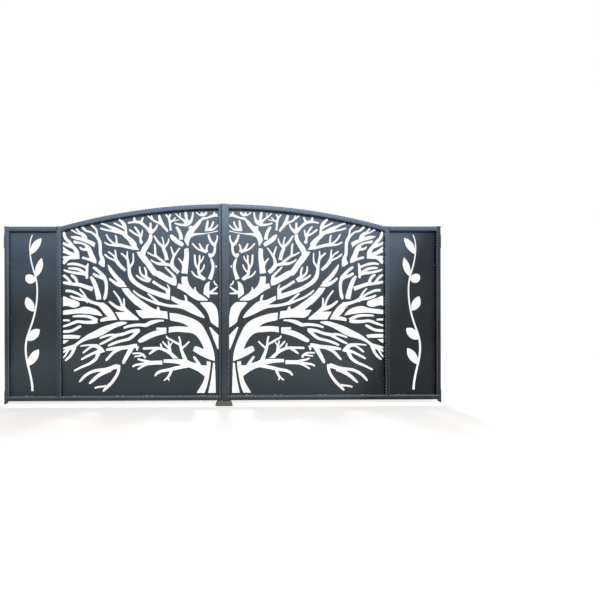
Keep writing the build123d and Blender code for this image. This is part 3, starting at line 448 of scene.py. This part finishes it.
def hammer(bm, across, deep, plain, run_of):
    """Places on the bar's long corners, each with how deep the hammer drives it in.

    The corners in plain, where a sheet is welded, stay sharp. run_of gives a place's two
    cross-section offsets and its distance along the bar."""
    corner = corner_size(across, deep)
    strength = {}
    moves = []
    for vert in bm.verts:
        side, front, run = run_of(vert.co)
        out_side = across / 2 - abs(side)
        out_front = deep / 2 - abs(front)
        if max(out_side, out_front) > corner / 2:
            continue
        ways = (math.copysign(1, side), math.copysign(1, front))
        if ways in plain:
            continue
        turn, frac = divmod(run / dent_pitch + dent_stagger * ways[0] * ways[1], 1.0)
        blow = 1.0 - ((2.0 * frac - 1.0) / dent_share) ** 2
        if blow <= 0:
            continue
        key = (ways, int(turn))
        if key not in strength:
            strength[key] = dice.uniform(weakest_blow, hardest_blow)
        moves.append((vert, ways, blow * strength[key]))
    return moves


def straight_bar(across, deep, length, plain):
    """Hammered bar along +Z from 0, centred on the Z axis, closed at both ends."""
    bm = bmesh.new()
    bar_profile(bm, across, deep)
    steps = max(2, round(length / (dent_pitch / rings_per_dent)))
    sweep(bm, steps, axis=(0, 0, 1), angle=0.0, rise=length / steps)
    dent = bm.verts.layers.float.new("dent")
    depth = dent_depth * corner_size(across, deep) / edge_flat * slant
    for vert, ways, blow in hammer(bm, across, deep, plain, lambda p: (p.x, p.y, p.z)):
        vert.co.x -= depth * blow * ways[0]
        vert.co.y -= depth * blow * ways[1]
        vert[dent] = blow
    close_ends(bm)
    return bm


def arch_bar():
    """Hammered bar bent to the arch, cut upright at both ends."""
    bm = bmesh.new()
    bar_profile(bm, tube, tube)
    # stand the profile up across the arch: its first axis becomes height, its second Y
    bm.transform(Matrix(((0, 0, 1, 0), (0, 1, 0, 0), (1, 0, 0, 0), (0, 0, 0, 1))))
    middle_radius = arch_radius - tube / 2
    start = math.asin((meeting_out - arch_overrun_inner) / arch_radius)
    end = math.asin((middle_in + arch_overrun_outer) / arch_radius)
    bm.transform(Matrix.Translation((0, 0, middle_radius)))
    bm.transform(Matrix.Rotation(start, 4, "Y"))
    length = middle_radius * (end - start)
    steps = round(length / (dent_pitch / rings_per_dent))
    sweep(bm, steps, axis=(0, 1, 0), angle=end - start, rise=0)

    def run_of(place):
        radius = math.hypot(place.x, place.z)
        return radius - middle_radius, place.y, math.atan2(place.x, place.z) * middle_radius

    dent = bm.verts.layers.float.new("dent")
    depth = dent_depth * slant
    for vert, ways, blow in hammer(bm, tube, tube, [(-1, 1)], run_of):
        outward = Vector((vert.co.x, 0, vert.co.z)).normalized()
        vert.co -= outward * (depth * blow * ways[0])
        vert.co.y -= depth * blow * ways[1]
        vert[dent] = blow
    bm.transform(Matrix.Translation((0, 0, arch_centre)))
    for x, way in ((meeting_out, -1), (middle_in, 1)):
        bmesh.ops.bisect_plane(
            bm, geom=bm.verts[:] + bm.edges[:] + bm.faces[:], dist=cut_distance,
            plane_co=(x, 0, 0), plane_no=(way, 0, 0), clear_outer=True, clear_inner=False,
        )
    close_ends(bm)
    return bm


def mirrored(bm, side):
    """The right leaf's mesh, turned over to the left leaf where side is left."""
    if side == "left":
        bm.transform(Matrix.Scale(-1, 4, (1, 0, 0)))
        bmesh.ops.reverse_faces(bm, faces=bm.faces[:])
    return bm


def upright(x0, x1, z0, z1, plain):
    bm = straight_bar(x1 - x0, tube, z1 - z0, plain)
    bm.transform(Matrix.Translation(((x0 + x1) / 2, 0, z0)))
    return bm


def level(x0, x1, z0, plain):
    bm = straight_bar(tube, tube, x1 - x0, plain)
    bm.transform(Matrix.Rotation(math.pi / 2, 4, "Y"))
    bm.transform(Matrix.Translation((x0, 0, z0 + tube / 2)))
    return bm


meeting_top = arch_height(meeting_out) - cap_thickness
shoulder_top = shoulder_height - cap_thickness
rail_end = half_width - cap_thickness
for side, meeting_in in (("right", right_meeting_in), ("left", left_meeting_in)):
    rail_start = meeting_in + cap_thickness
    bars = {
        "meeting_stile": upright(meeting_in, meeting_out, rail_top, meeting_top, [(1, 1)]),
        "middle_stile": upright(middle_in, middle_out, rail_top, shoulder_top, [(1, 1), (-1, 1)]),
        "hinge_stile": upright(hinge_in, half_width, rail_top, shoulder_top, [(-1, 1)]),
        "bottom_rail": level(rail_start, rail_end, ground_gap, [(-1, 1)]),
        "shoulder_rail": level(middle_out, hinge_in, shoulder_height - tube, [(1, 1)]),
        "arch_rail": arch_bar(),
    }
    for part, bm in bars.items():
        node = f"{side}_{part}"
        finish_piece(
            mirrored(bm, side), node + "_hammered", side + "_leaf", frame_paint, node,
        )

strip = straight_bar(strip_width, strip_thickness, strip_top - ground_gap, [(1, 1), (-1, 1)])
strip.transform(Matrix.Translation((0, -tube / 2 - strip_thickness / 2, ground_gap)))
finish_piece(
    strip, "cover_strip_hammered", "right_leaf", frame_paint, "cover_strip",
)

# Rubber lip on the back of the strip, that closes the gap between the leaves; its black stands in
# for the shadow in that gap, as painted shade
lip = bmesh.new()
bmesh.ops.create_cube(lip, size=1.0)
lip_height = strip_top - ground_gap - lip_shortening
lip_middle = ((lip_in - lip_out) / 2, (lip_thickness - tube) / 2, (strip_top + ground_gap) / 2)
bmesh.ops.scale(lip, vec=(lip_out + lip_in, lip_thickness, lip_height), verts=lip.verts[:])
bmesh.ops.translate(lip, vec=lip_middle, verts=lip.verts[:])
bmesh.ops.bevel(
    lip, geom=lip.edges[:], offset=lip_edge, offset_type="OFFSET", affect="EDGES", segments=2,
    profile=0.5, material=-1,
)
finish_piece(lip, "gap_lip", "right_leaf", rubber)


# Pieces taken from the solids, with their edges eased

def eased(node, material, offset, segments=2):
    """Copy of a solid's mesh with its sharp edges rounded, in the solid's place."""
    source = nodes[node]
    bm = bmesh.new()
    bm.from_mesh(source.data)
    bmesh.ops.remove_doubles(bm, verts=bm.verts[:], dist=merge_distance)
    bmesh.ops.dissolve_limit(bm, angle_limit=flat_angle, verts=bm.verts[:], edges=bm.edges[:])
    sharp = [
        e for e in bm.edges if len(e.link_faces) == 2 and e.calc_face_angle(0.0) > sharp_angle
    ]
    bmesh.ops.bevel(
        bm, geom=sharp, offset=offset, offset_type="OFFSET", affect="EDGES", segments=segments,
        profile=0.5, material=-1, clamp_overlap=True,
    )
    bm.transform(to_frame.inverted())
    finish_piece(bm, node + "_eased", source["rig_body"], material, node)


for side in sides:
    for height in ("lower", "upper"):
        for part, offset in hinge_edges.items():
            eased(f"{side}_{height}_{part}", hinge_black, offset)
    eased(f"{side}_end_caps", frame_paint, cap_edge)
eased("floor_stop", stop_stone, stop_edge, segments=3)

for side in sides:
    for sheet in ("tree_sheet", "vine_sheet"):
        node = nodes[f"{side}_{sheet}"]
        node.data.materials.clear()
        node.data.materials.append(sheet_paint)


# Tack welds that hold the sheets in their frames

def tack(bm, place, upright_seam=False):
    """One flattened blob of weld, longer along the seam."""
    made = bmesh.ops.create_icosphere(bm, subdivisions=2, radius=1.0)["verts"]
    bmesh.ops.scale(bm, vec=tack_size, verts=made)
    for vert in made:
        vert.co *= 1.0 + dice.uniform(-tack_roughness, tack_roughness)
    if upright_seam:
        quarter = Matrix.Rotation(math.pi / 2, 3, "Y")
        bmesh.ops.rotate(bm, verts=made, cent=(0, 0, 0), matrix=quarter)
    bmesh.ops.translate(bm, verts=made, vec=place)


for side in sides:
    bm = bmesh.new()
    for x in foot_tacks[side]:
        tack(bm, (x, sheet_front, rail_top))
        tack(bm, (x + tack_step, sheet_front + tack_depth_step, rail_top))
    for x, z in stile_tacks[side]:
        tack(bm, (x, sheet_front, z), upright_seam=True)
        tack(bm, (x, sheet_front + tack_depth_step, z - tack_drop), upright_seam=True)
    for share in arch_tacks:
        x = meeting_out + share * (middle_in - meeting_out)
        z = arch_height(x) - tube * arch_radius / math.sqrt(arch_radius ** 2 - x ** 2)
        tack(bm, (x if side == "right" else -x, sheet_front, z))
    # Paler tack welds, most at the foot of the sheets: painted highlights, kept in the dent
    # attribute
    tack_highlight = bm.verts.layers.float.new("dent")
    for vert in bm.verts:
        at_foot = vert.co.z < rail_top + tack_size[0]
        vert[tack_highlight] = foot_highlight if at_foot else other_highlight
    finish_piece(
        bm, f"{side}_tack_welds", side + "_leaf", frame_paint, sharp=no_sharp,
    )


# Floor, light and camera

def seen_plainly(tree, rays):
    """1 for what the camera sees, itself or in a glossy surface."""
    return reckoned(tree, "MAXIMUM", rays["Is Camera Ray"], rays["Is Glossy Ray"])


def stage_surface(name, near_colour, bounce):
    """Floor that shows the gate's shadow nearby and turns plain white further away."""
    material, tree, shader = new_material(name)
    seen = seen_plainly(tree, tree.nodes.new("ShaderNodeLightPath").outputs)
    centred = tree.nodes.new("ShaderNodeMapping")
    centred.inputs["Location"].default_value = (floor_squash * wall_face, axis_y, 0.0)
    centred.inputs["Scale"].default_value = (floor_squash, 1.0, 1.0)
    tree.links.new(object_place(tree), centred.inputs["Vector"])
    distance = tree.nodes.new("ShaderNodeVectorMath")
    distance.operation = "LENGTH"
    tree.links.new(centred.outputs["Vector"], distance.inputs[0])
    far = remap(tree, distance.outputs["Value"], floor_near, floor_far)
    seen_colour = mixed(tree, far, near_colour, black)
    tree.links.new(mixed(tree, seen, bounce, seen_colour), shader.inputs["Base Color"])
    glow = reckoned(tree, "MULTIPLY", seen, remap(tree, far, 0.0, 1.0, out_low=floor_glow))
    tree.links.new(glow, shader.inputs["Emission Strength"])
    shader.inputs["Emission Color"].default_value = white
    shader.inputs["Roughness"].default_value = 1.0
    shader.inputs["Specular IOR Level"].default_value = 0.0
    return material


floor_bm = bmesh.new()
bmesh.ops.create_grid(floor_bm, x_segments=1, y_segments=1, size=floor_reach)
floor = mesh_object(floor_bm, "floor", stage_surface("floor", floor_colour, floor_bounce))


def area_light(name, place, aim, size, power, colour=(1.0, 1.0, 1.0)):
    data = bpy.data.lights.new(name, "AREA")
    data.shape = "RECTANGLE"
    data.size, data.size_y = size
    data.energy = power
    data.color = colour
    light = bpy.data.objects.new(name, data)
    bpy.context.scene.collection.objects.link(light)
    spot = to_frame @ Vector(place)
    light.location = spot
    light.rotation_euler = (to_frame @ Vector(aim) - spot).to_track_quat("-Z", "Y").to_euler()


area_light(
    "front_high", place=(1.6, -9.5, 6.0), aim=(0.2, 0, 0.9), size=(4.0, 2.5), power=1160.0,
    colour=(0.97, 0.99, 1.0),
)
area_light(
    "back_high", place=(0.0, 9.5, 6.0), aim=(0.0, 0, 0.9), size=(4.0, 2.5), power=1100.0,
)

# Dome that is pale overhead and white where the camera sees it
world = bpy.data.worlds.new("sky")
world.use_nodes = True
bpy.context.scene.world = world
sky_tree = world.node_tree
background = sky_tree.nodes["Background"]
sky_axes = axes_of(sky_tree, sky_tree.nodes.new("ShaderNodeTexCoord").outputs["Generated"])
dome = mixed(sky_tree, remap(sky_tree, sky_axes["Z"], 0.15, 0.95), sky_low, sky_high)
sky_rays = sky_tree.nodes.new("ShaderNodeLightPath").outputs
clear = reckoned(
    sky_tree, "MAXIMUM", seen_plainly(sky_tree, sky_rays), sky_rays["Is Transmission Ray"],
)
sky_tree.links.new(mixed(sky_tree, clear, dome, white), background.inputs["Color"])
background.inputs["Strength"].default_value = 1.0

camera_data = bpy.data.cameras.new("camera")
camera_data.sensor_width = sensor_width
camera_data.lens = sensor_width * (camera_distance / metres_per_pixel) / image_width
camera_data.shift_x = camera_shift_x
camera_data.shift_y = camera_shift_y
camera_data.clip_end = camera_reach
camera = bpy.data.objects.new("camera", camera_data)
bpy.context.scene.collection.objects.link(camera)
camera.location = to_frame @ Vector((camera_across, -tube / 2 - camera_distance, camera_height))
camera.rotation_euler = (math.pi / 2, camera_roll, -camera_turn)
bpy.context.scene.camera = camera
bpy.context.scene.view_settings.view_transform = "Standard"
